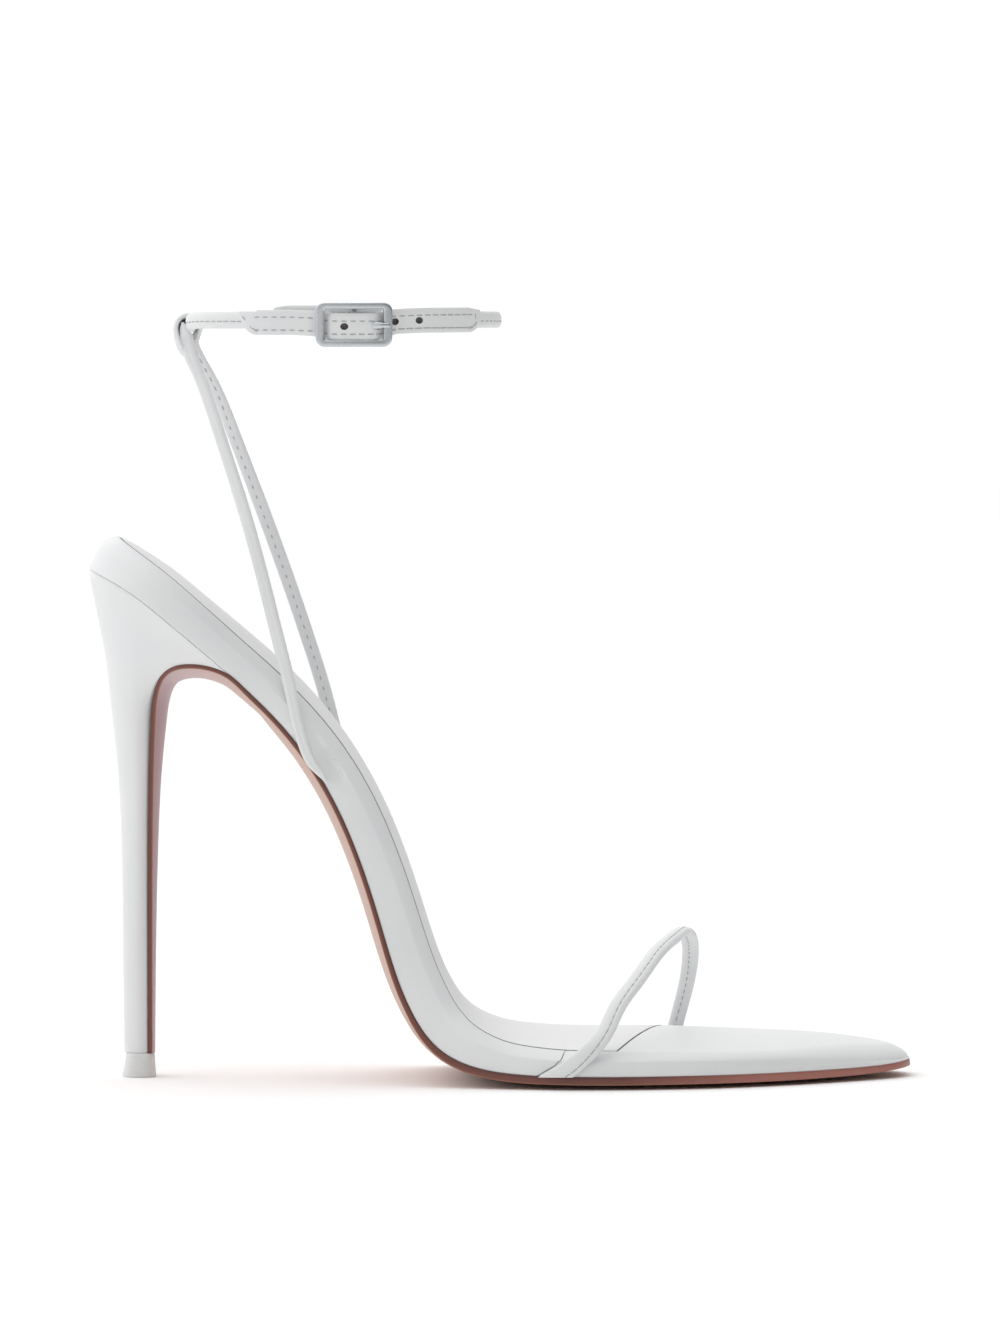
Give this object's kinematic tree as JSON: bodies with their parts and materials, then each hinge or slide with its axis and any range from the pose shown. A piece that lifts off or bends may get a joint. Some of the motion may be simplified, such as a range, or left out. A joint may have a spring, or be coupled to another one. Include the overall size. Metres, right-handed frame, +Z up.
{
  "type": "ankle strap high heel",
  "caption": "Right stiletto sandal of smooth white leather: rolled toe strap, forked back strap that loops around a buckled ankle strap, slim covered heel and thin stained sole.",
  "frame": {"origin": "middle of the shoe's box, on the floor that the sole and the heel stand on", "axes": "+X towards the toe, +Y towards the inner side of the foot, +Z up"},
  "size_m": [0.1904, 0.081, 0.1793],
  "materials": {
    "white_leather": "smooth white upper leather, semi-matt",
    "lining_leather": "smooth white lining leather, matt",
    "sole_leather": "sole leather with a dark brown stained edge and a nude underside",
    "top_piece": "hard off-white wearing piece, matt",
    "satin_metal": "satin silver metal"
  },
  "bodies": {
    "root": {"outsole": "sole_leather", "heel": "white_leather", "top_piece": "top_piece", "footbed": "white_leather", "insole_sock": "lining_leather", "toe_strap": "white_leather", "back_strap": "white_leather", "ankle_strap": "white_leather", "buckle_frame": "satin_metal", "buckle_prong": "satin_metal"}
  },
  "joints": []
}
